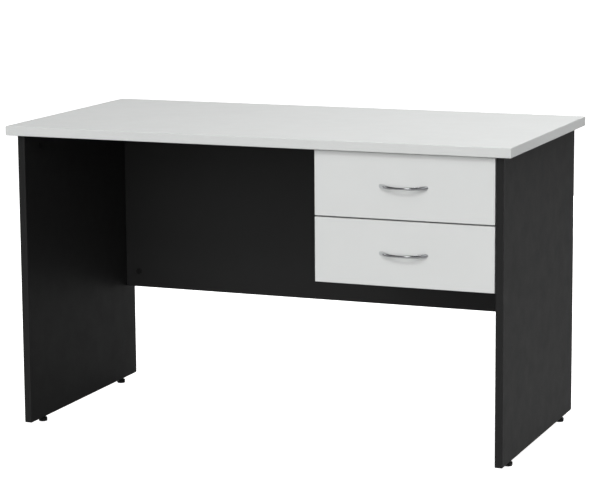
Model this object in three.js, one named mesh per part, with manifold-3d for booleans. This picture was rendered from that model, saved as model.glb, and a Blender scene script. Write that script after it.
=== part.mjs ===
// A writing desk with a pale desktop, dark panel ends, a dark modesty panel and a hanging pedestal of
// two drawers on roller runners at the right. Millimetres, +Z up. A person sits on the -Y side, so +X
// is to their right. The origin is on the floor, under the middle of the whole desk's outline.

import * as THREE from "three";
import { mergeVertices } from "three/addons/utils/BufferGeometryUtils.js";
import Module from "manifold-3d";

const wasm = await Module();
wasm.setup();

// ---------------------------------------------------------------- driving dimensions

// Whole desk
const WIDTH = 1200;
const DEPTH = 600;
const HEIGHT = 710;
const TOP_THICKNESS = 22;
const BOARD = 18; // end panels, modesty panel and drawer fronts
const OVERHANG = 20; // desktop beyond the end panels, on all four sides
const MODESTY_HEIGHT = 443;
const MODESTY_INSET = 29; // its back face, forward of the end panels' back edges

// Levelling feet
const FOOT_HEIGHT = 12; // the part of a foot that shows under a panel
const FOOT_RADIUS = 10;
const FOOT_SPREAD = 207.5; // from the desk's middle to a foot, front and back
const STEM_RADIUS = 3;
const STEM_LENGTH = 14;
const INSERT_RADIUS = 5;
const INSERT_LENGTH = 16;

// Cam fittings: a cam in the face of one board pulls on a bolt that is screwed into its neighbour
const CAM_RADIUS = 7.1;
const CAM_LENGTH = 12.5;
const CAM_SETBACK = 34; // from the joint to the cam's axis
const BOLT_THREAD = 11; // the length that is screwed into the neighbour
const TOP_CAM_SPREAD = 204; // from the desk's middle to the cams under the desktop
const MODESTY_CAM_LIFT = 39; // above the modesty panel's lower edge

// Pedestal and drawers
const PEDESTAL_BOARD = 16;
const PEDESTAL_DEPTH = 480;
const FRONT_WIDTH = 410;
const FRONT_HEIGHT = 144;
const FRONT_GAP = 3; // between the two fronts
const FRONT_TOP_GAP = 3; // between the upper front and the desktop
const FRONT_SIDE_GAP = 2; // between a front and the right end panel, and its overlap on the left side
const BOX_BOARD = 12;
const BOX_LENGTH = 450;
const BOX_HEIGHT = 100;
const BASE_THICKNESS = 4;
const GROOVE_DEPTH = 5;
const GROOVE_LIFT = 10; // from the lower edge of a drawer side to its groove

// Roller runners
const RUNNER_SPACE = 12.5; // between a pedestal side and a drawer side
const RUNNER_LIFT = 21; // from a front's lower edge to the runners' lowest face
const RUNNER_HEIGHT = 22;
const RUNNER_FLANGE = 10.5;
const SHEET = 1.25;
const ROLLER_WIDTH = 6;
const PEDESTAL_ROLLER_RADIUS = 8.4;
const DRAWER_ROLLER_RADIUS = 9.4;
const PIN_RADIUS = 2.5;

// Bow handles
const HANDLE_WIDTH = 112;
const HANDLE_REACH = 29;
const HANDLE_BAR = 4; // how thick the bow is at its middle
const HANDLE_PAD = 13; // how much of each end lies on the drawer front
const HANDLE_END_HEIGHT = 9;
const HANDLE_MIDDLE_HEIGHT = 5;
const SCREW_SPACING = 96;
const SCREW_RADIUS = 2;
const SCREW_GRIP = 6; // the length of screw inside the handle

const CLEARANCE = 0.3; // around anything that sits in a hole

// ---------------------------------------------------------------- places worked out from them

const TOP_UNDERSIDE = HEIGHT - TOP_THICKNESS;
const PANEL_OUTER = WIDTH / 2 - OVERHANG;
const PANEL_INNER = PANEL_OUTER - BOARD;
const PANEL_BACK = DEPTH / 2 - OVERHANG;
const PANEL_FRONT = -PANEL_BACK;
const MODESTY_BACK = PANEL_BACK - MODESTY_INSET;
const MODESTY_FRONT = MODESTY_BACK - BOARD;
const MODESTY_BOTTOM = TOP_UNDERSIDE - MODESTY_HEIGHT;

const FRONT_LEFT = PANEL_INNER - FRONT_SIDE_GAP - FRONT_WIDTH;
const UPPER_FRONT_BOTTOM = TOP_UNDERSIDE - FRONT_TOP_GAP - FRONT_HEIGHT;
const LOWER_FRONT_BOTTOM = UPPER_FRONT_BOTTOM - FRONT_GAP - FRONT_HEIGHT;
const PEDESTAL_LEFT = FRONT_LEFT + FRONT_SIDE_GAP;
const PEDESTAL_FRONT = PANEL_FRONT + BOARD + 2; // 2 mm behind the drawer fronts
const PEDESTAL_BACK = PEDESTAL_FRONT + PEDESTAL_DEPTH;
const PEDESTAL_BOTTOM = LOWER_FRONT_BOTTOM + 1;
const PEDESTAL_INNER_LEFT = PEDESTAL_LEFT + PEDESTAL_BOARD;
const PEDESTAL_INNER_RIGHT = PANEL_INNER - PEDESTAL_BOARD;

// ---------------------------------------------------------------- materials

const finish = (color, roughness, metalness = 0) =>
  new THREE.MeshStandardMaterial({ color, roughness, metalness });

const MATERIALS = {
  paleBoard: finish(0xd9dbda, 0.45),
  darkBoard: finish(0x33343a, 0.5),
  drawerBoard: finish(0xcfd0cd, 0.55),
  hardboard: finish(0xd8d5cc, 0.7),
  chrome: finish(0xd0d2d4, 0.12, 1),
  zinc: finish(0xa7a9a8, 0.38, 1),
  runnerSteel: finish(0xe6e6e2, 0.4, 0.2),
  nylon: finish(0xe9e7df, 0.5),
  blackPlastic: finish(0x1b1b1c, 0.55),
};

// ---------------------------------------------------------------- shape helpers

/** A closed geometry as a manifold solid, with its shared vertices merged. */
function toSolid(geometry) {
  const bare = geometry.clone();
  bare.deleteAttribute("normal");
  bare.deleteAttribute("uv");
  const merged = mergeVertices(bare, 1e-5);
  const mesh = new wasm.Mesh({
    numProp: 3,
    vertProperties: merged.attributes.position.array,
    triVerts: Uint32Array.from(merged.index.array),
  });
  return new wasm.Manifold(mesh);
}

/** A manifold solid as a buffer geometry. */
function toGeometry(solid) {
  const mesh = solid.getMesh();
  const geometry = new THREE.BufferGeometry();
  geometry.setAttribute("position", new THREE.BufferAttribute(mesh.vertProperties, 3));
  geometry.setIndex(new THREE.BufferAttribute(mesh.triVerts, 1));
  geometry.computeVertexNormals();
  return geometry;
}

const combine = (how, body, others) =>
  toGeometry(others.reduce((solid, other) => solid[how](toSolid(other)), toSolid(body)));
const cut = (body, tools) => combine("subtract", body, tools);
const join = (body, parts) => combine("add", body, parts);
const overlapOf = (body, other) => combine("intersect", body, [other]);

/** A box between two opposite corners, given in either order. */
function box(a, b) {
  const size = a.map((value, i) => Math.abs(b[i] - value));
  const middle = a.map((value, i) => (value + b[i]) / 2);
  return new THREE.BoxGeometry(...size).translate(...middle);
}

// Turns shapes that three.js makes along its own Y or Z axis so that they lie along another one.
const X = new THREE.Vector3(1, 0, 0);
const Y = new THREE.Vector3(0, 1, 0);
const Z = new THREE.Vector3(0, 0, 1);
const Y_TO_X = new THREE.Matrix4().makeBasis(Z, X, Y);
const Y_TO_Z = new THREE.Matrix4().makeBasis(X, Z, Y.clone().negate());

/** A cylinder between two points that differ along one axis only. */
function rod(start, end, radius, sides = 24) {
  const axis = start.findIndex((value, i) => value !== end[i]);
  const geometry = new THREE.CylinderGeometry(radius, radius, Math.abs(end[axis] - start[axis]), sides);
  if (axis === 0) geometry.applyMatrix4(Y_TO_X);
  if (axis === 2) geometry.applyMatrix4(Y_TO_Z);
  return geometry.translate(...start.map((value, i) => (value + end[i]) / 2));
}

/** A solid turned about the Z axis from [radius, height] points, which start and end on that axis. */
function turned(profile, sides) {
  const points = profile.map(([radius, height]) => new THREE.Vector2(radius, height));
  return new THREE.LatheGeometry(points, sides).applyMatrix4(Y_TO_Z);
}

/** An [x, z] outline made into a bar that runs along Y from 0 to length. */
function bar(outline, length) {
  const shape = new THREE.Shape(outline.map(([x, z]) => new THREE.Vector2(x, z)));
  const options = { depth: length, bevelEnabled: false };
  return new THREE.ExtrudeGeometry(shape, options).applyMatrix4(Y_TO_Z).translate(0, length, 0);
}

/** A named mesh with a material of its own, placed in its group. */
function piece(group, name, geometry, material, position = [0, 0, 0]) {
  const mesh = new THREE.Mesh(geometry, material.clone());
  mesh.name = name;
  mesh.position.set(...position);
  group.add(mesh);
  return mesh;
}

/** A board between two corners of its group's frame, with holes cut by tools in that same frame. */
function board(group, name, low, high, material, tools = []) {
  const size = high.map((value, i) => value - low[i]);
  const blank = box([0, 0, 0], size);
  const here = tools.map((tool) => tool.clone().translate(...low.map((value) => -value)));
  return piece(group, name, here.length ? cut(blank, here) : blank, material, low);
}

// ---------------------------------------------------------------- cam fittings

// In a fitting's own frame the joint is the plane x = 0, the bolt lies on the X axis with its head at
// the cam, and the cam shows in the board's face at z = BOARD / 2.

const fittingHoles = {
  cam: rod([CAM_SETBACK, 0, BOARD / 2 - CAM_LENGTH - 0.5], [CAM_SETBACK, 0, BOARD], CAM_RADIUS + 0.4),
  edge: rod([-1, 0, 0], [CAM_SETBACK, 0, 0], 4, 16),
  thread: rod([-BOLT_THREAD - 1, 0, 0], [1, 0, 0], 3.4, 16),
};

/** The cam: a short drum with a screwdriver cross in its face and a mouth that grips the bolt's head. */
function camGeometry() {
  const face = BOARD / 2;
  const drum = rod([CAM_SETBACK, 0, face - CAM_LENGTH], [CAM_SETBACK, 0, face], CAM_RADIUS);
  const mouth = box([0, -3.7, face - CAM_LENGTH - 1], [CAM_SETBACK + 3.5, 3.7, 3.8]);
  const crossAlong = box([CAM_SETBACK - 4, -0.8, face - 2], [CAM_SETBACK + 4, 0.8, face + 1]);
  const crossOver = box([CAM_SETBACK - 0.8, -4, face - 2], [CAM_SETBACK + 0.8, 4, face + 1]);
  return cut(drum, [mouth, crossAlong, crossOver]);
}

/** The bolt: a thread, a plain shank, a narrow neck and a head, turned about Z and laid along X. */
function boltGeometry() {
  const tip = CAM_SETBACK + 0.5;
  const profile = [
    [0, -BOLT_THREAD],
    [2.4, -BOLT_THREAD],
    [3, 1 - BOLT_THREAD],
    [3, 0.5],
    [3.5, 0.5],
    [3.5, tip - 8.5],
    [1.9, tip - 8.5],
    [1.9, tip - 3.5],
    [3.2, tip - 3.5],
    [3.2, tip - 0.8],
    [2.4, tip],
    [0, tip],
  ];
  return turned(profile, 16).applyMatrix4(new THREE.Matrix4().makeBasis(Y, Z, X));
}

const cam = camGeometry();
const bolt = boltGeometry();

/** Where a fitting is and how it turns: along points from the joint to the cam, face out of the board. */
function fittingFrame(position, along, face) {
  const frame = new THREE.Matrix4().makeBasis(along, face.clone().cross(along), face);
  return frame.setPosition(...position);
}

/** A fitting's holes in the desk's frame, as [cuts in the cam's board, cuts in the bolt's board]. */
function holesOf(frame) {
  const placed = (hole) => hole.clone().applyMatrix4(frame);
  return { camBoard: [placed(fittingHoles.cam), placed(fittingHoles.edge)], boltBoard: [placed(fittingHoles.thread)] };
}

// ---------------------------------------------------------------- desktop, end panels, modesty panel

const sides = [
  { name: "left", sign: -1 },
  { name: "right", sign: 1 },
];
const ends = [
  { name: "front", sign: -1 },
  { name: "rear", sign: 1 },
];
const DOWN = Z.clone().negate();

const topFittings = [];
const modestyFittings = [];
for (const side of sides) {
  const inward = X.clone().multiplyScalar(-side.sign);
  for (const end of ends) {
    const joint = [side.sign * (PANEL_INNER + BOARD / 2), end.sign * TOP_CAM_SPREAD, TOP_UNDERSIDE];
    topFittings.push({ name: `${end.name}_${side.name}_top`, side, frame: fittingFrame(joint, DOWN, inward) });
  }
  const joint = [side.sign * PANEL_INNER, (MODESTY_FRONT + MODESTY_BACK) / 2, MODESTY_BOTTOM + MODESTY_CAM_LIFT];
  const frame = fittingFrame(joint, inward, Y.clone().negate());
  modestyFittings.push({ name: `modesty_${side.name}`, side, frame });
}

function addBoards(desk) {
  const boltHoles = topFittings.flatMap((fitting) => holesOf(fitting.frame).boltBoard);
  const topLow = [-WIDTH / 2, -DEPTH / 2, TOP_UNDERSIDE];
  board(desk, "desktop", topLow, [WIDTH / 2, DEPTH / 2, HEIGHT], MATERIALS.paleBoard, boltHoles);

  for (const side of sides) {
    const tools = topFittings
      .filter((fitting) => fitting.side === side)
      .flatMap((fitting) => holesOf(fitting.frame).camBoard);
    for (const fitting of modestyFittings) {
      if (fitting.side === side) tools.push(...holesOf(fitting.frame).boltBoard);
    }
    const middle = side.sign * (PANEL_INNER + BOARD / 2);
    for (const end of ends) {
      const y = end.sign * FOOT_SPREAD;
      tools.push(rod([middle, y, FOOT_HEIGHT - 1], [middle, y, FOOT_HEIGHT + INSERT_LENGTH + 4],
        INSERT_RADIUS + 0.4));
    }
    const low = [middle - BOARD / 2, PANEL_FRONT, FOOT_HEIGHT];
    const high = [middle + BOARD / 2, PANEL_BACK, TOP_UNDERSIDE];
    board(desk, `${side.name}_end_panel`, low, high, MATERIALS.darkBoard, tools);
  }

  const camHoles = modestyFittings.flatMap((fitting) => holesOf(fitting.frame).camBoard);
  const modestyLow = [-PANEL_INNER, MODESTY_FRONT, MODESTY_BOTTOM];
  const modestyHigh = [PANEL_INNER, MODESTY_BACK, TOP_UNDERSIDE];
  board(desk, "modesty_panel", modestyLow, modestyHigh, MATERIALS.darkBoard, camHoles);
}

function addFittings(desk) {
  for (const fitting of [...topFittings, ...modestyFittings]) {
    const group = new THREE.Group();
    group.applyMatrix4(fitting.frame);
    piece(group, `${fitting.name}_cam`, cam, MATERIALS.zinc);
    piece(group, `${fitting.name}_cam_bolt`, bolt, MATERIALS.zinc);
    desk.add(group);
  }
}

// ---------------------------------------------------------------- levelling feet

function footGeometry() {
  const shoulder = FOOT_HEIGHT - CLEARANCE;
  const profile = [
    [0, 0],
    [FOOT_RADIUS - 1, 0],
    [FOOT_RADIUS, 1],
    [FOOT_RADIUS, shoulder - 3],
    [FOOT_RADIUS - 1, shoulder - 2],
    [FOOT_RADIUS - 4, shoulder - 2],
    [FOOT_RADIUS - 4, shoulder],
    [STEM_RADIUS, shoulder],
    [STEM_RADIUS, FOOT_HEIGHT + STEM_LENGTH],
    [0, FOOT_HEIGHT + STEM_LENGTH],
  ];
  return turned(profile, 32);
}

function insertGeometry() {
  const sleeve = rod([0, 0, 0], [0, 0, INSERT_LENGTH], INSERT_RADIUS);
  return cut(sleeve, [rod([0, 0, -1], [0, 0, INSERT_LENGTH + 1], STEM_RADIUS + 0.4)]);
}

function addFeet(desk) {
  const foot = footGeometry();
  const insert = insertGeometry();
  for (const side of sides) {
    for (const end of ends) {
      const corner = new THREE.Group();
      corner.position.set(side.sign * (PANEL_INNER + BOARD / 2), end.sign * FOOT_SPREAD, 0);
      piece(corner, `${end.name}_${side.name}_foot`, foot, MATERIALS.blackPlastic);
      piece(corner, `${end.name}_${side.name}_foot_insert`, insert, MATERIALS.zinc, [0, 0, FOOT_HEIGHT]);
      desk.add(corner);
    }
  }
}

// ---------------------------------------------------------------- pedestal

function addPedestal(desk) {
  const low = PEDESTAL_BOTTOM;
  const floor = low + PEDESTAL_BOARD;
  const backFace = PEDESTAL_BACK - PEDESTAL_BOARD;
  const innerLeft = PEDESTAL_INNER_LEFT;
  const innerRight = PEDESTAL_INNER_RIGHT;
  const panels = {
    pedestal_left_side: [[PEDESTAL_LEFT, PEDESTAL_FRONT, low], [innerLeft, PEDESTAL_BACK, TOP_UNDERSIDE]],
    pedestal_right_side: [[innerRight, PEDESTAL_FRONT, low], [PANEL_INNER, PEDESTAL_BACK, TOP_UNDERSIDE]],
    pedestal_bottom: [[innerLeft, PEDESTAL_FRONT, low], [innerRight, PEDESTAL_BACK, floor]],
    pedestal_back: [[innerLeft, backFace, floor], [innerRight, PEDESTAL_BACK, TOP_UNDERSIDE]],
  };
  for (const [name, corners] of Object.entries(panels)) {
    board(desk, name, ...corners, MATERIALS.darkBoard);
  }
}

// ---------------------------------------------------------------- roller runners

// A runner's frame: x = 0 on the pedestal side and growing towards the drawer, times inward, which is
// 1 on the left and -1 on the right; y = 0 at its front end; z = 0 at its lowest face.

const PEDESTAL_ROLLER = { y: 12, z: 10, radius: PEDESTAL_ROLLER_RADIUS };
const DRAWER_ROLLER = { y: BOX_LENGTH - 14, z: 11, radius: DRAWER_ROLLER_RADIUS };
const TRACK_TOP = RUNNER_HEIGHT - 2; // top of the drawer member's running flange
const ROLLER_START = 3.25;

/** The fixed member: a channel screwed to the pedestal side, with the pin of its roller at the front. */
function pedestalRunner(inward) {
  const inner = RUNNER_HEIGHT - SHEET;
  const outline = [
    [0, 0],
    [RUNNER_FLANGE, 0],
    [RUNNER_FLANGE, SHEET],
    [SHEET, SHEET],
    [SHEET, inner],
    [RUNNER_FLANGE, inner],
    [RUNNER_FLANGE, RUNNER_HEIGHT],
    [0, RUNNER_HEIGHT],
  ];
  const channel = bar(outline.map(([x, z]) => [x * inward, z]), BOX_LENGTH);
  const { y, z } = PEDESTAL_ROLLER;
  return join(channel, [rod([inward * SHEET / 2, y, z], [inward * (RUNNER_FLANGE - 0.25), y, z], PIN_RADIUS)]);
}

/** The moving member: it holds a drawer side's lower edge, and its top flange runs on the fixed roller. */
function drawerRunner(inward) {
  const wall = RUNNER_SPACE - SHEET;
  const trackUnderside = TRACK_TOP - SHEET;
  const outline = [
    [wall, 0],
    [RUNNER_SPACE + RUNNER_FLANGE, 0],
    [RUNNER_SPACE + RUNNER_FLANGE, SHEET],
    [RUNNER_SPACE, SHEET],
    [RUNNER_SPACE, TRACK_TOP],
    [4, TRACK_TOP],
    [4, trackUnderside],
    [wall, trackUnderside],
  ];
  const { y, z, radius } = DRAWER_ROLLER;
  const angle = bar(outline.map(([x, height]) => [x * inward, height]), BOX_LENGTH);
  const pin = rod([inward * (wall + SHEET / 2), y, z], [inward * 2.25, y, z], PIN_RADIUS);
  const roomForRoller = box([0, y - radius - 3, SHEET], [inward * wall, BOX_LENGTH + 1, RUNNER_HEIGHT]);
  return join(cut(angle, [roomForRoller]), [pin]);
}

/** A roller about its pin's axis, which is parallel to X. */
function rollerGeometry(inward, radius) {
  const end = ROLLER_START + ROLLER_WIDTH;
  const tyre = rod([inward * ROLLER_START, 0, 0], [inward * end, 0, 0], radius, 32);
  return cut(tyre, [rod([inward * (ROLLER_START - 1), 0, 0], [inward * (end + 1), 0, 0], PIN_RADIUS + 0.4)]);
}

function addRunners(desk, drawer, level, frontBottom) {
  const height = frontBottom + RUNNER_LIFT;
  for (const side of sides) {
    const inward = -side.sign;
    const wall = side.sign < 0 ? PEDESTAL_INNER_LEFT : PEDESTAL_INNER_RIGHT;
    const name = `${level}_${side.name}`;
    const place = [wall, PEDESTAL_FRONT + 2, height];

    const fixed = new THREE.Group();
    fixed.position.set(...place);
    piece(fixed, `${name}_pedestal_runner`, pedestalRunner(inward), MATERIALS.runnerSteel);
    piece(fixed, `${name}_pedestal_roller`, rollerGeometry(inward, PEDESTAL_ROLLER.radius), MATERIALS.nylon,
      [0, PEDESTAL_ROLLER.y, PEDESTAL_ROLLER.z]);
    desk.add(fixed);

    const moving = new THREE.Group();
    moving.position.set(wall - FRONT_LEFT, PEDESTAL_FRONT + 2 - PANEL_FRONT, RUNNER_LIFT);
    piece(moving, `${name}_drawer_runner`, drawerRunner(inward), MATERIALS.runnerSteel);
    piece(moving, `${name}_drawer_roller`, rollerGeometry(inward, DRAWER_ROLLER.radius), MATERIALS.nylon,
      [0, DRAWER_ROLLER.y, DRAWER_ROLLER.z]);
    drawer.add(moving);
  }
}

// ---------------------------------------------------------------- drawers

// A drawer's frame has its origin at the lower left corner of its front's outer face.

const BOX_LEFT = PEDESTAL_INNER_LEFT + RUNNER_SPACE - FRONT_LEFT;
const BOX_RIGHT = PEDESTAL_INNER_RIGHT - RUNNER_SPACE - FRONT_LEFT;
const BOX_BOTTOM = RUNNER_LIFT + SHEET;
const BOX_TOP = BOX_BOTTOM + BOX_HEIGHT;
const BOX_BACK = BOARD + BOX_LENGTH;
const BASE_BOTTOM = BOX_BOTTOM + GROOVE_LIFT;
const BASE_TOP = BASE_BOTTOM + BASE_THICKNESS;
const HANDLE_CENTRE = [FRONT_WIDTH / 2, 0, FRONT_HEIGHT / 2];

/** The bow: its outline seen from above, trimmed to its outline seen from the front. */
function handleGeometry() {
  const half = HANDLE_WIDTH / 2;
  const arc = (halfChord, rise) => {
    const radius = (halfChord ** 2 + rise ** 2) / (2 * rise);
    return { radius, centre: radius - rise, spread: Math.asin(halfChord / radius) };
  };
  const outer = arc(half, HANDLE_REACH);
  const inner = arc(half - HANDLE_PAD, HANDLE_REACH - HANDLE_BAR);

  // From above: x to the right, y forward from the drawer front.
  const above = new THREE.Shape();
  above.absarc(0, -outer.centre, outer.radius, Math.PI / 2 - outer.spread, Math.PI / 2 + outer.spread, false);
  above.absarc(0, -inner.centre, inner.radius, Math.PI / 2 + inner.spread, Math.PI / 2 - inner.spread, true);
  const deep = { depth: HANDLE_END_HEIGHT, bevelEnabled: false, curveSegments: 28 };
  const bow = new THREE.ExtrudeGeometry(above, deep).translate(0, 0, -HANDLE_END_HEIGHT / 2);
  bow.rotateZ(Math.PI).rotateY(Math.PI); // forward becomes -Y

  // From the front: wide rounded ends and a slim middle.
  const end = HANDLE_END_HEIGHT / 2;
  const slim = HANDLE_MIDDLE_HEIGHT / 2;
  const face = new THREE.Shape();
  face.moveTo(half - end, end);
  face.bezierCurveTo(half * 0.6, end, half * 0.45, slim, 0, slim);
  face.bezierCurveTo(-half * 0.45, slim, -half * 0.6, end, end - half, end);
  face.absarc(end - half, 0, end, Math.PI / 2, (3 * Math.PI) / 2, false);
  face.bezierCurveTo(-half * 0.6, -end, -half * 0.45, -slim, 0, -slim);
  face.bezierCurveTo(half * 0.45, -slim, half * 0.6, -end, half - end, -end);
  face.absarc(half - end, 0, end, -Math.PI / 2, Math.PI / 2, false);
  const long = { depth: HANDLE_REACH + 2, bevelEnabled: false, curveSegments: 10 };
  const front = new THREE.ExtrudeGeometry(face, long).applyMatrix4(Y_TO_Z).translate(0, 1, 0);

  const screwHoles = sides.map(({ sign }) => {
    const x = sign * SCREW_SPACING / 2;
    return rod([x, 1, 0], [x, -SCREW_GRIP - 1, 0], SCREW_RADIUS + CLEARANCE, 16);
  });
  return cut(overlapOf(bow, front), screwHoles);
}

/** A pan-head machine screw with its head's inner face at the back of a drawer front. */
function handleScrewGeometry() {
  const profile = [
    [0, 0],
    [3.2, 0],
    [4, 0.8],
    [4, 2.4],
    [SCREW_RADIUS, 2.4],
    [SCREW_RADIUS, 2.4 + BOARD + SCREW_GRIP],
    [0, 2.4 + BOARD + SCREW_GRIP],
  ];
  const screw = turned(profile, 16);
  const slots = [box([-2.4, -0.5, -1], [2.4, 0.5, 1.4]), box([-0.5, -2.4, -1], [0.5, 2.4, 1.4])];
  return cut(screw, slots).rotateX(Math.PI / 2).translate(0, BOARD + 2.4, 0);
}

function addDrawerBox(drawer, level) {
  const pale = MATERIALS.drawerBoard;
  const baseLeft = BOX_LEFT + BOX_BOARD - GROOVE_DEPTH + 0.5;
  const baseRight = BOX_RIGHT - BOX_BOARD + GROOVE_DEPTH - 0.5;
  const groove = [
    box(
      [BOX_LEFT + BOX_BOARD - GROOVE_DEPTH, BOARD - GROOVE_DEPTH, BASE_BOTTOM - CLEARANCE],
      [BOX_RIGHT - BOX_BOARD + GROOVE_DEPTH, BOX_BACK + 1, BASE_TOP + CLEARANCE],
    ),
  ];
  const screwHoles = sides.map(({ sign }) => {
    const x = HANDLE_CENTRE[0] + sign * SCREW_SPACING / 2;
    return rod([x, -1, HANDLE_CENTRE[2]], [x, BOARD + 1, HANDLE_CENTRE[2]], SCREW_RADIUS + 0.4, 16);
  });

  const panels = {
    front: [[0, 0, 0], [FRONT_WIDTH, BOARD, FRONT_HEIGHT], MATERIALS.paleBoard, [...groove, ...screwHoles]],
    left_side: [[BOX_LEFT, BOARD, BOX_BOTTOM], [BOX_LEFT + BOX_BOARD, BOX_BACK, BOX_TOP], pale, groove],
    right_side: [[BOX_RIGHT - BOX_BOARD, BOARD, BOX_BOTTOM], [BOX_RIGHT, BOX_BACK, BOX_TOP], pale, groove],
    back: [
      [BOX_LEFT + BOX_BOARD, BOX_BACK - BOX_BOARD, BASE_TOP + CLEARANCE],
      [BOX_RIGHT - BOX_BOARD, BOX_BACK, BOX_TOP],
      pale,
    ],
    base: [
      [baseLeft, BOARD - GROOVE_DEPTH + 0.5, BASE_BOTTOM],
      [baseRight, BOX_BACK, BASE_TOP],
      MATERIALS.hardboard,
    ],
  };
  for (const [name, panel] of Object.entries(panels)) {
    board(drawer, `${level}_drawer_${name}`, ...panel);
  }
}

function addDrawers(desk) {
  const handle = handleGeometry();
  const screw = handleScrewGeometry();
  const levels = { lower: LOWER_FRONT_BOTTOM, upper: UPPER_FRONT_BOTTOM };
  for (const [level, frontBottom] of Object.entries(levels)) {
    const drawer = new THREE.Group();
    drawer.position.set(FRONT_LEFT, PANEL_FRONT, frontBottom);
    addDrawerBox(drawer, level);
    piece(drawer, `${level}_handle`, handle, MATERIALS.chrome, HANDLE_CENTRE);
    for (const { name, sign } of sides) {
      const place = [HANDLE_CENTRE[0] + sign * SCREW_SPACING / 2, 0, HANDLE_CENTRE[2]];
      piece(drawer, `${level}_${name}_handle_screw`, screw, MATERIALS.zinc, place);
    }
    addRunners(desk, drawer, level, frontBottom);
    desk.add(drawer);
  }
}

// ---------------------------------------------------------------- the desk

const desk = new THREE.Group();
addBoards(desk);
addFittings(desk);
addFeet(desk);
addPedestal(desk);
addDrawers(desk);

// The handles reach past the desktop's front edge, so the outline's middle is a little forward.
desk.position.y = (HANDLE_REACH - OVERHANG) / 2;

export default desk;
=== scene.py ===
"""The looks of a writing desk: pale melamine desktop and drawer fronts, charcoal panel ends and modesty
panel, two drawers on roller runners, chrome bow handles and black levelling feet."""

import math

import bmesh
import bpy
from mathutils import Matrix, Vector


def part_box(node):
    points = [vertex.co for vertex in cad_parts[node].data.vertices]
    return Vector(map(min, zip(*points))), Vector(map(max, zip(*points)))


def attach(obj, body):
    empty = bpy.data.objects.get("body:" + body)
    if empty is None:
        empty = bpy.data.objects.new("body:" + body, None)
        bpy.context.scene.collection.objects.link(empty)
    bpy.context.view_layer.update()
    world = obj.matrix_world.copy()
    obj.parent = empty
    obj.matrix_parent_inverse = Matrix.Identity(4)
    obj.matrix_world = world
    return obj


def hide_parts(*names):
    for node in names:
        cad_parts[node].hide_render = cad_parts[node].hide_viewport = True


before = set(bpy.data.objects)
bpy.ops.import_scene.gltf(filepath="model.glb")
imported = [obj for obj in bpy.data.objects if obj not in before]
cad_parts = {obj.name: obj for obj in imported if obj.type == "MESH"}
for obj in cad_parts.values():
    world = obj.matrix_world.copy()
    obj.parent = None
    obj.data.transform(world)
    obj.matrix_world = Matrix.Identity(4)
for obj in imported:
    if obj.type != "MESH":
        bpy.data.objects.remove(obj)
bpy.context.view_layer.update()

MM = 0.001
SIDES = ("left", "right")
ENDS = ("front", "rear")
LEVELS = ("lower", "upper")
AXIS = {"x": 0, "y": 1, "z": 2}

# ---------------------------------------------------------------- node materials


class Nodes:
    """A material's node tree, with a short way to add and join nodes."""

    def __init__(self, name):
        self.material = bpy.data.materials.new(name)
        self.material.use_nodes = True
        self.tree = self.material.node_tree
        self.shader = self.tree.nodes["Principled BSDF"]
        self.place = self.add("ShaderNodeTexCoord").outputs["Object"]

    def add(self, kind, inputs=None, **settings):
        node = self.tree.nodes.new(kind)
        for name, value in settings.items():
            setattr(node, name, value)
        for name, value in (inputs or {}).items():
            self.feed(node.inputs[name], value)
        return node

    def feed(self, socket, value):
        if isinstance(value, bpy.types.NodeSocket):
            self.tree.links.new(value, socket)
        else:
            socket.default_value = value

    def constants(self, **values):
        """Numbers and colours that are the same all over the surface, set on the shader's own sockets."""
        for name, value in values.items():
            self.shader.inputs[name.replace("_", " ")].default_value = value

    def noise(self, scale, detail=3.0, roughness=0.55, place=None):
        inputs = {"Vector": place or self.place, "Scale": scale, "Detail": detail, "Roughness": roughness}
        return self.add("ShaderNodeTexNoise", inputs).outputs["Fac"]

    def stretched(self, scale):
        """Object coordinates multiplied by a different number along each axis."""
        return self.add("ShaderNodeMapping", {"Vector": self.place, "Scale": scale}).outputs["Vector"]

    def span(self, value, low, high, start=0.0, end=1.0):
        inputs = {"Value": value, "From Min": start, "From Max": end, "To Min": low, "To Max": high}
        return self.add("ShaderNodeMapRange", inputs).outputs["Result"]

    def ramp(self, value, *stops):
        node = self.add("ShaderNodeValToRGB", {"Fac": value})
        elements = node.color_ramp.elements
        while len(elements) < len(stops):
            elements.new(0.5)
        for element, (position, colour) in zip(elements, stops):
            element.position = position
            element.color = (*colour, 1.0)
        return node.outputs["Color"]

    def sum(self, a, b, share=1.0):
        inputs = {0: b, 1: share, 2: a}
        return self.add("ShaderNodeMath", inputs, operation="MULTIPLY_ADD").outputs[0]

    def bump(self, height, distance, strength=1.0):
        inputs = {"Height": height, "Distance": distance, "Strength": strength}
        self.feed(self.shader.inputs["Normal"], self.add("ShaderNodeBump", inputs).outputs["Normal"])


def around(colour, spread):
    """A darker and a lighter neighbour of a colour."""
    return [tuple(channel * (1 + change) for channel in colour) for change in (-spread, spread)]


def melamine(name, colour, gloss, pebble, spread=0.02, shine=0.5):
    """Resin-faced board: a broad faint mottle, a fine speckle and the pebble of the press plate."""
    n = Nodes(name)
    n.constants(Specular_IOR_Level=shine)
    dark, light = around(colour, spread)
    mottle = n.noise(7.0, 4.0)
    speckle = n.noise(850.0, 2.0, 0.7)
    blend = n.sum(mottle, speckle, 0.6)
    tone = n.span(blend, 0, 1, 0.45, 1.15)
    n.feed(n.shader.inputs["Base Color"], n.ramp(tone, (0.0, dark), (1.0, light)))
    cells = n.add("ShaderNodeTexVoronoi", {"Vector": n.place, "Scale": 620.0}, feature="SMOOTH_F1")
    cells.inputs["Smoothness"].default_value = 0.8
    wear = n.noise(22.0, 5.0, 0.65)
    rough = n.span(n.sum(wear, speckle, 0.5), gloss - 0.05, gloss + 0.07, 0.4, 1.1)
    n.feed(n.shader.inputs["Roughness"], rough)
    n.bump(n.sum(cells.outputs["Distance"], speckle, 0.7), pebble)
    return n.material


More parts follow.
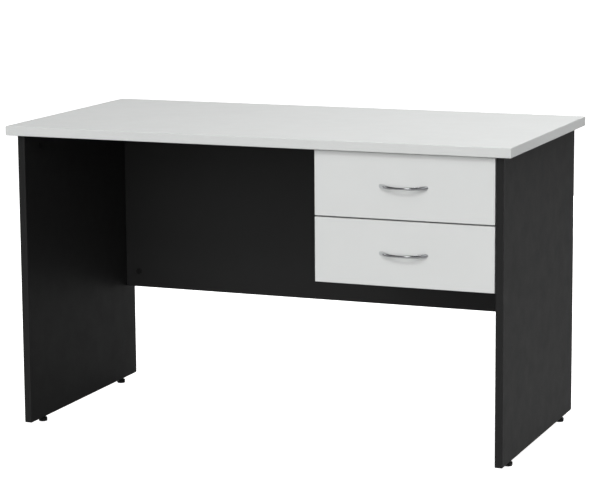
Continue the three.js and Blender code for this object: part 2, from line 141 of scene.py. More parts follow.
def edge_tape(name, colour, gloss, shine=0.5):
    """Plastic edge tape: the board's colour with a faint drawn grain along it and a smoother surface."""
    n = Nodes(name)
    n.constants(Specular_IOR_Level=shine)
    dark, light = around(colour, 0.025)
    drawn = n.noise(90.0, 3.0, 0.6, n.stretched((1.0, 1.0, 9.0)))
    fine = n.noise(1400.0, 2.0)
    tone = n.span(drawn, 0, 1, 0.3, 0.7)
    n.feed(n.shader.inputs["Base Color"], n.ramp(tone, (0.0, dark), (1.0, light)))
    n.feed(n.shader.inputs["Roughness"], n.span(drawn, gloss - 0.04, gloss + 0.06, 0.3, 0.7))
    n.bump(fine, 0.02 * MM)
    return n.material


def chipboard():
    """Raw particle board, where a hole or an untaped edge shows the core."""
    n = Nodes("chipboard core")
    chips = n.add("ShaderNodeTexVoronoi", {"Vector": n.stretched((1.0, 1.0, 2.2)), "Scale": 380.0})
    tone = n.sum(chips.outputs["Color"], n.noise(900.0, 4.0), 0.5)
    stops = ((0.15, (0.20, 0.12, 0.06)), (0.6, (0.45, 0.31, 0.17)), (1.0, (0.64, 0.49, 0.30)))
    n.feed(n.shader.inputs["Base Color"], n.ramp(tone, *stops))
    n.feed(n.shader.inputs["Roughness"], n.span(tone, 0.75, 0.95))
    n.bump(chips.outputs["Distance"], 0.25 * MM)
    return n.material


def hardboard():
    """A drawer base: pressed fibre under a thin coat of pale paint."""
    n = Nodes("painted hardboard")
    fibres = n.noise(260.0, 5.0, 0.7, n.stretched((1.0, 3.0, 1.0)))
    stops = ((0.3, (0.60, 0.585, 0.54)), (0.75, (0.74, 0.73, 0.69)))
    n.feed(n.shader.inputs["Base Color"], n.ramp(fibres, *stops))
    n.feed(n.shader.inputs["Roughness"], n.span(fibres, 0.5, 0.75))
    n.bump(fibres, 0.08 * MM)
    return n.material


def chrome():
    """Chrome plate: nearly a mirror, a little softer in broad patches, with faint polishing lines."""
    n = Nodes("chrome plate")
    n.constants(Metallic=1.0)
    haze = n.noise(60.0, 4.0, 0.6)
    lines = n.noise(1600.0, 2.0, 0.5, n.stretched((0.15, 1.0, 1.0)))
    stops = ((0.3, (0.60, 0.61, 0.63)), (0.7, (0.68, 0.69, 0.70)))
    n.feed(n.shader.inputs["Base Color"], n.ramp(haze, *stops))
    n.feed(n.shader.inputs["Roughness"], n.span(n.sum(haze, lines, 0.4), 0.06, 0.14, 0.4, 1.0))
    n.bump(lines, 0.004 * MM)
    return n.material


def zinc():
    """Bright zinc plate on small steel parts, with cloudy patches and a fine grain."""
    n = Nodes("zinc plate")
    n.constants(Metallic=1.0)
    cloud = n.noise(180.0, 5.0, 0.65)
    grain = n.noise(2600.0, 2.0)
    stops = ((0.3, (0.42, 0.43, 0.42)), (0.7, (0.60, 0.61, 0.62)))
    n.feed(n.shader.inputs["Base Color"], n.ramp(cloud, *stops))
    n.feed(n.shader.inputs["Roughness"], n.span(cloud, 0.28, 0.46, 0.3, 0.7))
    n.bump(grain, 0.01 * MM)
    return n.material


def coated_steel():
    """Off-white epoxy powder coat on the runners: orange peel and rub marks along the slide."""
    n = Nodes("epoxy coated steel")
    peel = n.noise(520.0, 3.0, 0.5)
    rubs = n.noise(150.0, 4.0, 0.7, n.stretched((1.0, 0.04, 1.0)))
    stops = ((0.35, (0.62, 0.62, 0.60)), (0.6, (0.72, 0.72, 0.70)))
    n.feed(n.shader.inputs["Base Color"], n.ramp(rubs, *stops))
    n.feed(n.shader.inputs["Roughness"], n.span(rubs, 0.42, 0.3, 0.35, 0.65))
    n.bump(peel, 0.03 * MM)
    return n.material


def moulded(name, colour, gloss, grain, translucent=0.0, shine=0.5):
    """Moulded plastic with a fine spark-eroded texture."""
    n = Nodes(name)
    dark, light = around(colour, 0.12)
    flow = n.noise(120.0, 3.0)
    spark = n.noise(2200.0, 3.0, 0.6)
    n.constants(Subsurface_Weight=translucent, Specular_IOR_Level=shine)
    n.feed(n.shader.inputs["Base Color"], n.ramp(flow, (0.3, dark), (0.7, light)))
    rough = n.span(n.sum(flow, spark, 0.5), gloss - 0.07, gloss + 0.08, 0.4, 1.1)
    n.feed(n.shader.inputs["Roughness"], rough)
    n.bump(spark, grain)
    return n.material


PALE = (0.568, 0.578, 0.572)
PALE_EDGE = tuple(0.95 * channel for channel in PALE)
DARK = (0.0115, 0.0115, 0.0115)
DARK_SHINE = 0.25
BOX = (0.56, 0.565, 0.55)

pale_face = melamine("pale melamine", PALE, 0.42, 0.012 * MM)
pale_tape = edge_tape("pale edge tape", PALE_EDGE, 0.36)
dark_face = melamine("charcoal melamine", DARK, 0.46, 0.03 * MM, 0.05, DARK_SHINE)
dark_tape = edge_tape("charcoal edge tape", DARK, 0.38, DARK_SHINE)
box_face = melamine("drawer box foil", BOX, 0.5, 0.01 * MM)
box_tape = edge_tape("drawer box edge foil", BOX, 0.42)
core = chipboard()
base_board = hardboard()
chrome_plate = chrome()
zinc_plate = zinc()
runner_coat = coated_steel()
nylon = moulded("natural nylon", (0.70, 0.68, 0.61), 0.4, 0.01 * MM, 0.1)
black_plastic = moulded("black moulded plastic", (0.004, 0.004, 0.004), 0.42, 0.02 * MM, shine=0.25)

# ---------------------------------------------------------------- mesh helpers


def new_object(name, bm, materials):
    mesh = bpy.data.meshes.new(name)
    bmesh.ops.recalc_face_normals(bm, faces=bm.faces[:])
    bm.to_mesh(mesh)
    bm.free()
    for material in materials:
        mesh.materials.append(material)
    obj = bpy.data.objects.new(name, mesh)
    bpy.context.scene.collection.objects.link(obj)
    return obj


def settle(obj):
    """Applies an object's modifiers to its mesh."""
    bpy.context.view_layer.update()
    shaped = obj.evaluated_get(bpy.context.evaluated_depsgraph_get())
    mesh = bpy.data.meshes.new_from_object(shaped)
    obj.modifiers.clear()
    old = obj.data
    obj.data = mesh
    bpy.data.meshes.remove(old)


def smooth(obj, sharp_degrees=40, weighted=True):
    """Smooth shading that keeps flat faces flat and real corners sharp."""
    obj.data.polygons.foreach_set("use_smooth", [True] * len(obj.data.polygons))
    obj.data.set_sharp_from_angle(angle=math.radians(sharp_degrees))
    if weighted:
        normals = obj.modifiers.new("normals", "WEIGHTED_NORMAL")
        normals.keep_sharp = True
        settle(obj)


def finish_piece(obj, body, slot, *nodes):
    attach(obj, body)
    if nodes:
        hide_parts(*nodes)
    return obj


def drum(start, end, radius, sides=48):
    """A closed cylinder between two points, as a bmesh."""
    start, end = Vector(start), Vector(end)
    bm = bmesh.new()
    length = (end - start).length
    bmesh.ops.create_cone(bm, cap_ends=True, segments=sides, radius1=radius, radius2=radius, depth=length)
    turn = (end - start).to_track_quat("Z", "Y").to_matrix().to_4x4()
    bmesh.ops.transform(bm, matrix=Matrix.Translation((start + end) / 2) @ turn, verts=bm.verts[:])
    return bm


def block(low, high, radius=0.0, segments=3):
    """A box between two corners, as a bmesh, with its edges rounded."""
    low, high = Vector(low), Vector(high)
    bm = bmesh.new()
    bmesh.ops.create_cube(bm, size=1.0)
    size = high - low
    grow = Matrix.Translation((low + high) / 2) @ Matrix.Diagonal((*size, 1.0))
    bmesh.ops.transform(bm, matrix=grow, verts=bm.verts[:])
    if radius:
        bmesh.ops.bevel(bm, geom=bm.edges[:], offset=radius, segments=segments, profile=0.5, affect="EDGES")
    return bm


def carve(obj, shapes, material=None):
    """Cuts bmesh shapes out of an object. The cut faces take the material, or the object's own."""
    tools = []
    for shape in shapes:
        tool = new_object("tool", shape, [material] if material else obj.data.materials[:1])
        cut = obj.modifiers.new("cut", "BOOLEAN")
        cut.operation = "DIFFERENCE"
        cut.solver = "EXACT"
        cut.material_mode = "TRANSFER"
        cut.object = tool
        tools.append(tool)
    settle(obj)
    for tool in tools:
        bpy.data.meshes.remove(tool.data)


def turned_bmesh(profile, sides=64, wobble=None):
    """A closed solid turned about Z from (radius, height) points. The first and last are on the axis.

    wobble(angle, height) multiplies the radius, for flutes and flats."""
    bm = bmesh.new()
    rings = []
    for radius, height in profile[1:-1]:
        ring = []
        for i in range(sides):
            angle = 2 * math.pi * i / sides
            r = radius * (wobble(angle, height) if wobble else 1.0)
            ring.append(bm.verts.new((r * math.cos(angle), r * math.sin(angle), height)))
        rings.append(ring)
    poles = [bm.verts.new((0, 0, profile[end][1])) for end in (0, -1)]
    for i in range(sides):
        j = (i + 1) % sides
        bm.faces.new((poles[0], rings[0][j], rings[0][i]))
        bm.faces.new((poles[1], rings[-1][i], rings[-1][j]))
        for lower, upper in zip(rings, rings[1:]):
            bm.faces.new((lower[i], lower[j], upper[j], upper[i]))
    return bm


def rounded(points, radius, steps=4):
    """A turned profile with every inner corner rounded, as far as its neighbours leave room."""
    made = [points[0]]
    for before, corner, after in zip(points, points[1:], points[2:]):
        a, c, b = Vector(before), Vector(corner), Vector(after)
        reach = min(radius, (a - c).length * 0.45, (b - c).length * 0.45)
        start = c + (a - c).normalized() * reach
        end = c + (b - c).normalized() * reach
        for i in range(steps + 1):
            t = i / steps
            made.append(tuple((1 - t) ** 2 * start + 2 * t * (1 - t) * c + t**2 * end))
    made.append(points[-1])
    return made


def turn_to(bm, centre, axis):
    """Moves a shape turned about Z so that its Z axis lies along axis from centre."""
    turn = Vector(axis).to_track_quat("Z", "Y").to_matrix().to_4x4()
    bmesh.ops.transform(bm, matrix=Matrix.Translation(centre) @ turn, verts=bm.verts[:])
    return bm


def middle(node):
    low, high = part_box(node)
    return (Vector(low) + Vector(high)) / 2


def span_of(node):
    low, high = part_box(node)
    return Vector(high) - Vector(low)


def hole_for(node, axis, radius=None, beyond=0.5 * MM):
    """The hole that a fastener's CAD node sits in: a drum along an axis, a little longer and wider."""
    k = AXIS[axis]
    low, high = map(Vector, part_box(node))
    across = [(high - low)[i] for i in range(3) if i != k]
    start, end = middle(node), middle(node)
    start[k], end[k] = low[k] - beyond, high[k] + beyond
    return drum(start, end, radius or max(across) / 2 + 0.4 * MM)


# ---------------------------------------------------------------- boards

SEAM_WIDTH = 0.2 * MM
SEAM_DEPTH = 0.05 * MM


def board(node, body, faces, slot, skins, rounding=1.0 * MM, raw=(), cuts=()):
    """A taped board in place of its CAD node.

    faces is the axis that its two large faces look along. skins are the face and the tape material.
    raw lists the sides with no tape, such as "+z", and cuts the shapes to cut out of it."""
    k = AXIS[faces]
    bm = block(*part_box(node), rounding)
    bm.normal_update()
    large = [face for face in bm.faces if abs(face.normal[k]) > 0.999]
    for face in bm.faces:
        face.material_index = 0 if face in large else 1
        for side in raw:
            direction = Vector()
            direction[AXIS[side[1]]] = 1.0 if side[0] == "+" else -1.0
            if face.normal.dot(direction) > 0.999:
                face.material_index = 2
    seam = bmesh.ops.inset_individual(bm, faces=large, thickness=SEAM_WIDTH, depth=-SEAM_DEPTH)
    for face in seam["faces"]:
        face.material_index = 1
    obj = new_object(f"{node}_board", bm, [*skins, core])
    if cuts:
        carve(obj, cuts, core)
    smooth(obj, 50)
    return finish_piece(obj, body, slot, node)


PALE_SKINS = (pale_face, pale_tape)
DARK_SKINS = (dark_face, dark_tape)
BOX_SKINS = (box_face, box_tape)


def desk_boards():
    bolts = [f"{end}_{side}_top_cam_bolt" for end in ENDS for side in SIDES]
    holes = [hole_for(bolt, "z") for bolt in bolts]
    board("desktop", "desk", "z", "pale_board", PALE_SKINS, 1.6 * MM, cuts=holes)
    for side in SIDES:
        holes = [hole_for(f"modesty_{side}_cam_bolt", "x")]
        for end in ENDS:
            holes.append(hole_for(f"{end}_{side}_top_cam", "x"))
            holes.append(hole_for(f"{end}_{side}_top_cam_bolt", "z"))
            holes.append(hole_for(f"{end}_{side}_foot_insert", "z", beyond=1 * MM))
        name = f"{side}_end_panel"
        board(name, "desk", "x", "dark_board", DARK_SKINS, 2 * MM, raw=("+z",), cuts=holes)
    holes = [hole_for(f"modesty_{side}_cam", "y") for side in SIDES]
    holes += [hole_for(f"modesty_{side}_cam_bolt", "x") for side in SIDES]
    board("modesty_panel", "desk", "y", "dark_board", DARK_SKINS, raw=("+z", "+x", "-x"), cuts=holes)
    for side in SIDES:
        board(f"pedestal_{side}_side", "desk", "x", "dark_board", DARK_SKINS, 0.6 * MM, raw=("+z", "+y"))
    board("pedestal_bottom", "desk", "z", "dark_board", DARK_SKINS, 0.6 * MM, raw=("+y", "+x", "-x"))
    board("pedestal_back", "desk", "y", "dark_board", DARK_SKINS, 0.6 * MM, raw=("+z", "-z", "+x", "-x"))


def base_groove(level):
    """The slot round a drawer box that takes the edges of its base."""
    low, high = map(Vector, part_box(f"{level}_drawer_base"))
    room = Vector((0.5, 0.5, 0.3)) * MM
    return block(low - room, high + room)


def drawer_boards(level):
    body = f"{level}_drawer"
    screws = [hole_for(f"{level}_{side}_handle_screw", "y", 2.4 * MM) for side in SIDES]
    cuts = [base_groove(level), *screws]
    board(f"{body}_front", body, "y", "pale_board", PALE_SKINS, 1.0 * MM, cuts=cuts)
    for side in SIDES:
        name = f"{body}_{side}_side"
        groove = base_groove(level)
        board(name, body, "x", "drawer_board", BOX_SKINS, 0.6 * MM, raw=("-y", "+y"), cuts=[groove])
    board(f"{body}_back", body, "y", "drawer_board", BOX_SKINS, 0.6 * MM, raw=("+x", "-x"))

    base = new_object(f"{body}_base_sheet", block(*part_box(f"{body}_base"), 0.3 * MM, 2), [base_board])
    smooth(base)
    finish_piece(base, body, "hardboard", f"{body}_base")


# ---------------------------------------------------------------- bow handles

BOW_MIDDLE_THICKNESS = 4 * MM
BOW_PAD = 13 * MM
BOW_MIDDLE_HEIGHT = 5 * MM
BOW_STATIONS = 120
BOW_SIDES = 40


def arc_depth(x, half_chord, rise):
    """How far an arc over a chord stands off it at x, and 0 past its ends."""
    radius = (half_chord**2 + rise**2) / (2 * rise)
    if abs(x) >= half_chord:
        return 0.0
    return math.sqrt(radius**2 - x**2) - (radius - rise)


def ease(t):
    t = min(max(t, 0.0), 1.0)
    return t * t * (3 - 2 * t)


def bow_section(x, half, reach, end_height):
    """(front depth, back depth, half height, squareness of the back) of the bow at x."""
    front = arc_depth(x, half, reach)
    back = arc_depth(x, half - BOW_PAD, reach - BOW_MIDDLE_THICKNESS)
    slim, full = BOW_MIDDLE_HEIGHT / 2, end_height / 2
    height = slim + (full - slim) * ease(abs(x) / (half - full) * 1.05 - 0.05)
    past = abs(x) - (half - full)
    if past > 0:
        height = math.sqrt(max(full**2 - past**2, 0.0))
    return front, back, height, ease((abs(x) - (half - 2 * BOW_PAD)) / BOW_PAD)


def bow_handle(level):
    node = f"{level}_handle"
    low, high = map(Vector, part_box(node))
    centre = middle(node)
    half, reach, end_height = (high.x - low.x) / 2, high.y - low.y, high.z - low.z
    bm = bmesh.new()
    rings = []
    for i in range(1, BOW_STATIONS):
        x = -half * math.cos(math.pi * i / BOW_STATIONS)
        front, back, height, square = bow_section(x, half, reach, end_height)
        ring = []
        for j in range(BOW_SIDES):
            angle = 2 * math.pi * j / BOW_SIDES
            c, s = math.cos(angle), math.sin(angle)
            power = 0.78 if c > 0 else 0.78 - 0.6 * square
            depth = (front + back) / 2 + (front - back) / 2 * math.copysign(abs(c) ** power, c)
            lift = height * math.copysign(abs(s) ** 0.78, s)
            ring.append(bm.verts.new((centre.x + x, high.y - depth, centre.z + lift)))
        rings.append(ring)
    for left, right in zip(rings, rings[1:]):
        for j in range(BOW_SIDES):
            k = (j + 1) % BOW_SIDES
            bm.faces.new((left[j], left[k], right[k], right[j]))
    bm.faces.new(rings[0][::-1])
    bm.faces.new(rings[-1])
    obj = new_object(f"{level}_bow_handle", bm, [chrome_plate])
    smooth(obj, 60, weighted=False)
    finish_piece(obj, f"{level}_drawer", "chrome", node)


# ---------------------------------------------------------------- fasteners and feet


def cross_recess(centre, axis, reach, width, depth):
    """Two crossed bars to cut a screwdriver's cross into a face at centre that looks along axis."""
    bars = []
    for long, short in ((reach, width), (width, reach)):
        bm = block((-long, -short, -depth), (long, short, depth))
        bars.append(turn_to(bm, centre, axis))
    return bars


def handle_screw(level, side):
    node = f"{level}_{side}_handle_screw"
    low, high = map(Vector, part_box(node))
    centre = middle(node)
    head, shank, drop = (high.x - low.x) / 2, 2 * MM, 2.4 * MM
    length = high.y - low.y
    dome = [(head * math.sin(a), -head * 0.45 * math.cos(a) - drop * 0.25) for a in
            [math.radians(d) for d in range(0, 91, 10)]]
    shift = -dome[0][1]
    dome = [(r, z + shift) for r, z in dome]
    profile = [(0, 0), *dome[1:], (head, drop), (shank, drop)]
    pitch, ridge = 0.7 * MM, 0.22 * MM
    turns = int((length - drop - 1 * MM) / pitch)
    for i in range(turns):
        z = drop + 0.5 * MM + i * pitch
        profile += [(shank - ridge, z), (shank, z + pitch / 2)]
    profile += [(shank - ridge, length - 0.4 * MM), (shank - 0.7 * MM, length), (0, length)]
    bm = turn_to(turned_bmesh(profile, 40), (centre.x, high.y, centre.z), (0, -1, 0))
    obj = new_object(f"{node}_turned", bm, [zinc_plate])
    carve(obj, cross_recess((centre.x, high.y, centre.z), (0, 1, 0), 2.3 * MM, 0.45 * MM, 1.3 * MM))
    smooth(obj, 35)
    finish_piece(obj, f"{level}_drawer", "zinc_steel", node)


def cam(node, face):
    """A cam drum with a rounded rim, a driver cross and its mouth. face is the way its top looks."""
    low, high = map(Vector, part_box(node))
    face = Vector(face)
    k = max(range(3), key=lambda i: abs(face[i]))
    length = (high - low)[k]
    radius = max((high - low)[i] for i in range(3) if i != k) / 2
    top = middle(node) + face * length / 2
    profile = rounded([(0, 0), (radius, 0), (radius, -length), (0, -length)], 0.5 * MM)
    obj = new_object(f"{node}_drum", turn_to(turned_bmesh(profile, 56), top, face), [zinc_plate])
    bolt = hole_for(f"{node}_bolt", "z" if k == 0 else "x", 3.6 * MM)
    carve(obj, [*cross_recess(top, face, 4 * MM, 0.8 * MM, 2 * MM), bolt])
    smooth(obj, 35)
    finish_piece(obj, "desk", "zinc_steel", node)
    return top, radius


def cam_cap(name, top, face, radius):
    """A black snap-on cover over a cam that would otherwise show: a low dome with a raised rim."""
    rim = radius + 1.1 * MM
    profile = [(0, 0.9 * MM), (rim * 0.55, 0.85 * MM), (rim * 0.78, 0.7 * MM), (rim * 0.84, 1.1 * MM),
               (rim * 0.93, 1.1 * MM), (rim, 0.6 * MM), (rim, 0.05 * MM), (0, 0.05 * MM)]
    shape = rounded(profile, 0.5 * MM)
    obj = new_object(name, turn_to(turned_bmesh(shape, 56), top, face), [black_plastic])
    smooth(obj, 50, weighted=False)
    finish_piece(obj, "desk", "black_plastic")


def cams():
    for side, inward in (("left", 1), ("right", -1)):
        for end in ENDS:
            node = f"{end}_{side}_top_cam"
            top, radius = cam(node, (inward, 0, 0))
            if side == "left":  # the right end panel's cams are covered by the pedestal
                cam_cap(f"{node}_cap", top, (inward, 0, 0), radius)
        node = f"modesty_{side}_cam"
        top, radius = cam(node, (0, -1, 0))
        cam_cap(f"{node}_cap", top, (0, -1, 0), radius)


FOOT_FLUTES = 24


def foot(end, side):
    """A moulded foot: a fluted grip round its rim, a hexagon above it and a threaded steel stem."""
    node = f"{end}_{side}_foot"
    low, high = map(Vector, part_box(node))
    centre = middle(node)
    radius = (high.x - low.x) / 2
    shoulder = 11.7 * MM
    hexagon = 6 * MM
    grip_low, grip_high = 2 * MM, 7.6 * MM

    def fluted(angle, height):
        if grip_low < height < grip_high:
            return 1 - 0.035 * (0.5 + 0.5 * math.cos(FOOT_FLUTES * angle)) ** 2
        if height > grip_high + 2 * MM:
            part = (angle % (math.pi / 3)) - math.pi / 6
            return math.cos(math.pi / 6) / math.cos(part)
        return 1.0

    profile = rounded([(0, 0), (radius - 1.2 * MM, 0), (radius, 1 * MM), (radius, grip_low)], 0.4 * MM)[:-1]
    profile += [(radius, grip_low - 0.1 * MM), (radius, grip_low + 0.5 * MM),
                (radius, grip_high - 0.5 * MM), (radius, grip_high + 0.2 * MM),
                (radius - 0.4 * MM, 8.6 * MM), (radius - 1.4 * MM, 9.4 * MM),
                (hexagon + 0.6 * MM, 9.6 * MM), (hexagon, 10 * MM), (hexagon, shoulder - 0.3 * MM),
                (hexagon - 0.4 * MM, shoulder), (0, shoulder)]
    bm = turned_bmesh(profile, FOOT_FLUTES * 6, fluted)
    bmesh.ops.translate(bm, vec=(centre.x, centre.y, 0), verts=bm.verts[:])
    pad = new_object(f"{node}_pad", bm, [black_plastic])
    smooth(pad, 35)
    body = f"{node}_body"
    finish_piece(pad, body, "black_plastic", node)

    stem = 3 * MM
    pitch, ridge = 1 * MM, 0.3 * MM
    profile = [(0, shoulder - 1 * MM), (stem - ridge, shoulder - 1 * MM)]
    for i in range(int((high.z - shoulder - 1 * MM) / pitch)):
        z = shoulder + 0.3 * MM + i * pitch
        profile += [(stem - ridge, z), (stem, z + pitch / 2)]
    profile += [(stem - ridge, high.z - 0.5 * MM), (stem - 2 * ridge, high.z), (0, high.z)]
    bm = turned_bmesh(profile, 32)
    bmesh.ops.translate(bm, vec=(centre.x, centre.y, 0), verts=bm.verts[:])
    thread = new_object(f"{node}_stem", bm, [zinc_plate])
    smooth(thread, 35)
    finish_piece(thread, body, "zinc_steel")


# ---------------------------------------------------------------- roller runners

SHEET = 1.25 * MM
RUNNER_HEIGHT = 22 * MM
RUNNER_FLANGE = 10.5 * MM
RUNNER_SPACE = 12.5 * MM
PIN_RADIUS = 2.5 * MM


def folded_strip(path, length, place, inward):
    """Sheet metal folded along an (x, z) centre line with rounded bends, running back along Y."""
    line = [Vector(point) for point in rounded(path, 1.6 * MM, 4)]
    left, right = [], []
    for i, point in enumerate(line):
        ahead = line[min(i + 1, len(line) - 1)] - line[max(i - 1, 0)]
        across = Vector((-ahead.y, ahead.x)).normalized() * SHEET / 2
        left.append(point + across)
        right.append(point - across)
    outline = left + right[::-1]
    bm = bmesh.new()
    ends = []
    for y in (0.0, length):
        ends.append([bm.verts.new((place[0] + inward * x, place[1] + y, place[2] + z)) for x, z in outline])
    count = len(outline)
    for i in range(count):
        j = (i + 1) % count
        bm.faces.new((ends[0][i], ends[0][j], ends[1][j], ends[1][i]))
    for ring in ends:
        for i in range(len(line) - 1):
            bm.faces.new((ring[i], ring[i + 1], ring[count - 2 - i], ring[count - 1 - i]))
    return bm


def merge(bm, other):
    """Adds another bmesh's shape to bm."""
    mesh = bpy.data.meshes.new("part")
    other.to_mesh(mesh)
    other.free()
    bm.from_mesh(mesh)
    bpy.data.meshes.remove(mesh)
    return bm


def rivet(start, end, radius):
    """A roller's pin with a domed head at its free end."""
    direction = (Vector(end) - Vector(start)).normalized()
    length = (Vector(end) - Vector(start)).length
    head = 0.8 * MM
    profile = [(0, 0), (radius, 0), (radius, length - head), (radius * 1.3, length - head),
               (radius * 1.2, length - head * 0.4), (radius * 0.7, length - 0.1 * head), (0, length)]
    return turn_to(turned_bmesh(profile, 32), start, direction)


def screw_head(name, centre, axis, body):
    """The rounded head of a wood screw, with a driver cross, on a face at centre."""
    radius, rise = 3.6 * MM, 1.7 * MM
    dome = [(radius * math.cos(math.radians(d)), rise * math.sin(math.radians(d))) for d in range(0, 90, 9)]
    profile = [(0, 0), *dome, (0, rise)]
    top = Vector(centre) + Vector(axis) * rise
    obj = new_object(name, turn_to(turned_bmesh(profile, 32), centre, axis), [zinc_plate])
    carve(obj, cross_recess(top, axis, 1.9 * MM, 0.4 * MM, 1.1 * MM))
    smooth(obj, 40)
    finish_piece(obj, body, "zinc_steel")


def runner_pair(level, side):
    inward = 1 if side == "left" else -1
    half = SHEET / 2
    name = f"{level}_{side}"

    # The channel on the pedestal side.
    low, high = map(Vector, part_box(f"{name}_pedestal_runner"))
    wall = low.x if inward > 0 else high.x
    length = high.y - low.y
    channel = [(RUNNER_FLANGE, half), (half, half), (half, RUNNER_HEIGHT - half),
               (RUNNER_FLANGE, RUNNER_HEIGHT - half)]
    bm = folded_strip(channel, length, (wall, low.y, low.z), inward)
    axle = middle(f"{name}_pedestal_roller")
    pin_start = Vector((wall + inward * half, axle.y, axle.z))
    pin_end = Vector((wall + inward * (RUNNER_FLANGE - 0.25 * MM), axle.y, axle.z))
    merge(bm, rivet(pin_start, pin_end, PIN_RADIUS))
    obj = new_object(f"{name}_channel", bm, [runner_coat])
    smooth(obj, 45)
    finish_piece(obj, "desk", "runner_steel", f"{name}_pedestal_runner")
    web = Vector((wall + inward * SHEET, 0, low.z + RUNNER_HEIGHT / 2))
    for i, y in enumerate((0.09, 0.5, 0.9)):
        spot = Vector((web.x, low.y + y * length, web.z))
        screw_head(f"{name}_channel_screw_{i + 1}", spot, (inward, 0, 0), "desk")

    # The angle under the drawer side, whose top flange runs on the channel's roller.
    low, high = map(Vector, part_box(f"{name}_drawer_runner"))
    track = high.z - low.z
    inner = RUNNER_SPACE - half
    top = track - half
    angle = [(RUNNER_SPACE + RUNNER_FLANGE, half), (inner, half), (inner, top), (4 * MM, top)]
    bm = folded_strip(angle, length, (wall, low.y, low.z), inward)
    axle = middle(f"{name}_drawer_roller")
    radius = span_of(f"{name}_drawer_roller").z / 2
    obj = new_object(f"{name}_angle", bm, [runner_coat])
    room_low = Vector((wall, axle.y - radius - 3 * MM, low.z + SHEET))
    room_high = Vector((wall + inward * (RUNNER_SPACE - SHEET), high.y + 1 * MM, low.z + RUNNER_HEIGHT))
    carve(obj, [block(room_low, room_high)])
    bm = bmesh.new()
    bm.from_mesh(obj.data)
    pin_start = Vector((wall + inward * inner, axle.y, axle.z))
    pin_end = Vector((wall + inward * 2.25 * MM, axle.y, axle.z))
    merge(bm, rivet(pin_start, pin_end, PIN_RADIUS))
    bm.to_mesh(obj.data)
    bm.free()
    smooth(obj, 45)
    finish_piece(obj, f"{level}_drawer", "runner_steel", f"{name}_drawer_runner")


def roller(node):
    """A nylon roller: a rounded tyre, a dished web and a hub with a bore."""
    centre, size = middle(node), span_of(node)
    radius, width, bore = size.z / 2, size.x, PIN_RADIUS + 0.35 * MM
    hub, dish = bore + 1.4 * MM, 1.3 * MM
    rim = radius - 2 * MM
    half = width / 2
    profile = [(bore, -half), (hub, -half), (hub, dish - half), (rim, dish - half), (rim, -half),
               (radius, -half), (radius, half), (rim, half), (rim, half - dish), (hub, half - dish),
               (hub, half), (bore, half)]
    loop = rounded([profile[-1], *profile, profile[0]], 0.35 * MM, 2)[1:-1]
    bm = bmesh.new()
    sides = 64
    rings = []
    for r, x in loop:
        ring = []
        for i in range(sides):
            a = 2 * math.pi * i / sides
            spot = (centre.x + x, centre.y + r * math.cos(a), centre.z + r * math.sin(a))
            ring.append(bm.verts.new(spot))
        rings.append(ring)
    for ring, following in zip(rings, rings[1:] + rings[:1]):
        for i in range(sides):
            j = (i + 1) % sides
            bm.faces.new((ring[i], ring[j], following[j], following[i]))
    bmesh.ops.remove_doubles(bm, verts=bm.verts[:], dist=1e-7)
    obj = new_object(f"{node}_wheel", bm, [nylon])
    smooth(obj, 40)
    finish_piece(obj, f"{node}_body", "nylon", node)


# ---------------------------------------------------------------- the desk

desk_boards()
cams()
for end in ENDS:
    for side in SIDES:
        foot(end, side)
for level in LEVELS:
    drawer_boards(level)
    bow_handle(level)
    for side in SIDES:
        handle_screw(level, side)
        runner_pair(level, side)
        roller(f"{level}_{side}_pedestal_roller")
        roller(f"{level}_{side}_drawer_roller")

# The fasteners inside the boards keep their CAD shape.
for node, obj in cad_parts.items():
    if node.endswith(("_cam_bolt", "_foot_insert")):
        obj.data.materials.clear()
        obj.data.materials.append(zinc_plate)

# ---------------------------------------------------------------- floor, light and camera

scene = bpy.context.scene
scene.view_settings.view_transform = "Standard"
scene.cycles.use_denoising = True

FLOOR_SIZE = 120
FLOOR_TONE = (0.30, 0.82)  # the floor's reflectance as the desk is lit by it, and as the camera sees it
FLOOR_GLOW = (0.0, 0.86)  # its own light, which only the camera sees


def ray_kind(tree, kind):
    return tree.nodes.new("ShaderNodeLightPath").outputs[f"Is {kind} Ray"]


def floor():
    """A plain pale floor that stays almost white to the camera and bounces little light at the desk."""
    bm = bmesh.new()
    bmesh.ops.create_grid(bm, x_segments=1, y_segments=1, size=FLOOR_SIZE / 2)
    n = Nodes("studio floor")
    to_camera = ray_kind(n.tree, "Camera")
    n.constants(Roughness=0.9, Specular_IOR_Level=0.1, Emission_Color=(1, 1, 1, 1))
    n.feed(n.shader.inputs["Base Color"], n.span(to_camera, *FLOOR_TONE))
    n.feed(n.shader.inputs["Emission Strength"], n.span(to_camera, *FLOOR_GLOW))
    obj = new_object("studio_floor", bm, [n.material])


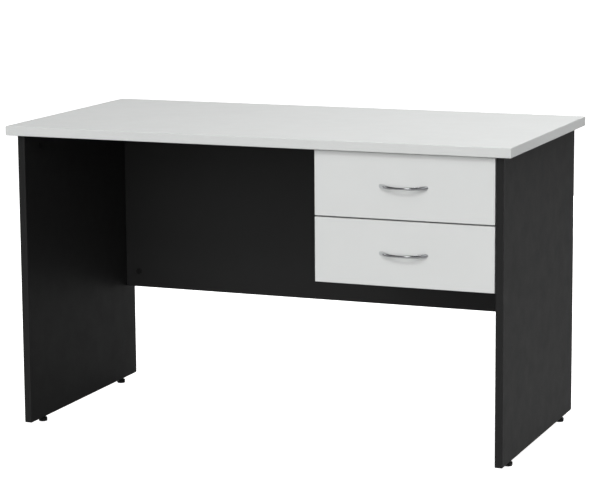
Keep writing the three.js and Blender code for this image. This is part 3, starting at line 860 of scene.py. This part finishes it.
def sky(seen, ambient, lobes):
    """A white world that lights the desk by ambient plus one soft lobe for each direction in lobes.

    A lobe is (direction, sharpness, how much it lights, how much of it glossy surfaces mirror)."""
    world = bpy.data.worlds.new("white studio")
    scene.world = world
    world.use_nodes = True
    tree = world.node_tree
    tree.nodes.clear()
    link = tree.links.new

    def math_node(operation, *values):
        node = tree.nodes.new("ShaderNodeMath")
        node.operation = operation
        for socket, value in zip(node.inputs, values):
            if isinstance(value, bpy.types.NodeSocket):
                link(value, socket)
            else:
                socket.default_value = value
        return node.outputs[0]

    way = tree.nodes.new("ShaderNodeTexCoord").outputs["Generated"]
    mirrored = ray_kind(tree, "Glossy")
    total = ambient
    for name, (direction, sharpness, lit, gloss) in lobes.items():
        facing = tree.nodes.new("ShaderNodeVectorMath")
        facing.operation = "DOT_PRODUCT"
        link(way, facing.inputs[0])
        facing.inputs[1].default_value = Vector(direction).normalized()
        bright = math_node("POWER", math_node("MAXIMUM", facing.outputs["Value"], 0.0), sharpness)
        strength = math_node("MULTIPLY_ADD", mirrored, gloss - lit, lit)
        share = math_node("MULTIPLY", bright, strength)
        share.node.label = name
        total = math_node("ADD", share, total)

    out = tree.nodes.new("ShaderNodeOutputWorld")
    mix = tree.nodes.new("ShaderNodeMixShader")
    for slot, strength in ((1, total), (2, seen)):
        background = tree.nodes.new("ShaderNodeBackground")
        background.inputs["Color"].default_value = (1, 1, 1, 1)
        if isinstance(strength, bpy.types.NodeSocket):
            link(strength, background.inputs["Strength"])
        else:
            background.inputs["Strength"].default_value = strength
        link(background.outputs[0], mix.inputs[slot])
    link(ray_kind(tree, "Camera"), mix.inputs[0])
    link(mix.outputs[0], out.inputs[0])


def softbox(name, position, target, size, power, mirrored=True):
    """A soft lamp that the camera doesn't see. With mirrored off, reflections don't show it either."""
    data = bpy.data.lights.new(name, "AREA")
    data.shape = "RECTANGLE"
    data.size, data.size_y = size
    data.energy = power
    lamp = bpy.data.objects.new(name, data)
    lamp.location = position
    lamp.rotation_euler = (Vector(target) - Vector(position)).to_track_quat("-Z", "Y").to_euler()
    lamp.visible_camera = False
    lamp.visible_glossy = mirrored
    scene.collection.objects.link(lamp)


# The three windows light nothing: they only show in the chrome and the other glossy surfaces.
LOBES = {
    "behind left": ((-0.37, 0.93, 0.2), 3.0, 0.82, 0.82),
    "front": ((0, -1, 0.05), 4.0, 4.8, 0.06),
    "front window": ((0.17, -0.98, 0.1), 70.0, 0.0, 6.0),
    "left window": ((-0.99, -0.12, 0.05), 60.0, 0.0, 1.8),
    "right window": ((0.97, -0.26, 0.05), 25.0, 0.0, 1.3),
}

floor()
sky(1.0, 0.03, LOBES)
softbox("front key", (0.2, -4.1, 3.2), (0.3, -0.3, 0.5), (0.35, 0.35), 37, mirrored=False)
softbox("behind low", (-0.4, 3.6, 0.38), (0, 0, 0.38), (2.4, 0.6), 70, mirrored=False)
softbox("left low", (-3.6, 0.4, 0.38), (-0.6, 0, 0.38), (1.0, 0.6), 75, mirrored=False)
softbox("overhead right", (1.3, 0.2, 2.9), (0.3, 0, 0.7), (1.6, 1.6), 54)
softbox("side low", (3.2, 0.15, 0.36), (0.6, 0, 0.36), (0.7, 0.7), 18)

CAMERA_PLACE = (1.981, -4.9053, 1.3465)
CAMERA_YAW = 0.383  # radians to the left of +Y
CAMERA_PITCH = 0.1592  # radians below the horizon
CAMERA_ROLL = -0.007
CAMERA_LENS = 138.77
CAMERA_SHIFT = -0.05
SENSOR_WIDTH = 36

camera_data = bpy.data.cameras.new("camera")
camera_data.lens = CAMERA_LENS
camera_data.sensor_width = SENSOR_WIDTH
camera_data.shift_y = CAMERA_SHIFT
camera = bpy.data.objects.new("camera", camera_data)
camera.location = CAMERA_PLACE
turn = Matrix.Rotation(CAMERA_YAW, 4, "Z") @ Matrix.Rotation(math.pi / 2 - CAMERA_PITCH, 4, "X")
camera.rotation_euler = (turn @ Matrix.Rotation(CAMERA_ROLL, 4, "Z")).to_euler()
scene.collection.objects.link(camera)
scene.camera = camera
